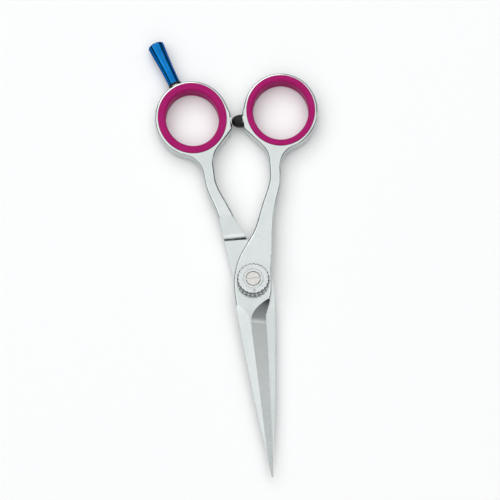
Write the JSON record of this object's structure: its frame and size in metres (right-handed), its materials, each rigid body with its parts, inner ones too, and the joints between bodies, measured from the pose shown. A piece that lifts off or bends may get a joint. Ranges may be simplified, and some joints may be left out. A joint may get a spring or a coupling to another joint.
{
  "type": "hair cutting shears",
  "caption": "Slim pointed shears with offset rings, soft ring inserts, a screw-in finger rest, a domed bumper and a clicking tension dial at the pivot.",
  "frame": {"origin": "on the pivot axis, at the lower face of the pivot post's head, which is the floor plane when the shears lie flat", "axes": "+Z along the pivot axis, up through the tension dial; the tips point to -Y and the rings to +Y; the thumb ring is on the +X side and the finger ring on the -X side"},
  "size_m": [0.0602, 0.1695, 0.0092],
  "materials": {
    "blade_steel": "mirror-polished handle, satin ground blade",
    "post_steel": "turned, polished",
    "dial_steel": "polished, grooved rim",
    "screw_steel": "turned",
    "spring_steel": "hardened, fine ground",
    "ball_steel": "mirror",
    "bush_bronze": "bronze, machined",
    "slip_white": "waxy low-friction plastic",
    "insert_silicone": "translucent magenta silicone, satin",
    "rubber_black": "satin black",
    "rest_blue": "glossy blue anodised"
  },
  "bodies": {
    "finger_half": {"finger_blade": "blade_steel", "pivot_post": "post_steel", "slip_washer": "slip_white", "disc_spring": "spring_steel", "click_plate": "spring_steel", "retaining_screw": "screw_steel", "finger_insert": "insert_silicone"},
    "thumb_half": {"thumb_blade": "blade_steel", "pivot_bush": "bush_bronze", "thumb_insert": "insert_silicone", "bumper": "rubber_black"},
    "dial": {"tension_dial": "dial_steel", "detent_ball_1": "ball_steel", "detent_ball_2": "ball_steel", "detent_ball_3": "ball_steel", "detent_spring_1": "spring_steel", "detent_spring_2": "spring_steel", "detent_spring_3": "spring_steel"},
    "rest_washer": {"finger_rest_washer": "rubber_black"},
    "rest": {"finger_rest": "rest_blue"}
  },
  "joints": [
    {"name": "thumb_pivot", "type": "hinge", "parent": "finger_half", "child": "thumb_half", "pos_m": [0, 0, 0], "axis": [0, 0, -1], "range_deg": [0, 110]},
    {"name": "dial_turn", "type": "hinge", "parent": "finger_half", "child": "dial", "pos_m": [0, 0, 0], "axis": [0, 0, 1], "range_deg": [-180, 180]},
    {"name": "rest_out", "type": "slide", "parent": "finger_half", "child": "rest_washer", "axis": [-0.3338, 0.9426, 0], "range_m": [0, 0.0027]},
    {"name": "rest_screw", "type": "hinge", "parent": "rest_washer", "child": "rest", "pos_m": [-0.01635, 0.06509, 0.0032], "axis": [-0.3338, 0.9426, 0], "range_deg": [0, 2160]}
  ],
  "couplings": [
    {"joint": "rest_screw", "follows": "rest_out", "rad_per_m": 13963}
  ]
}
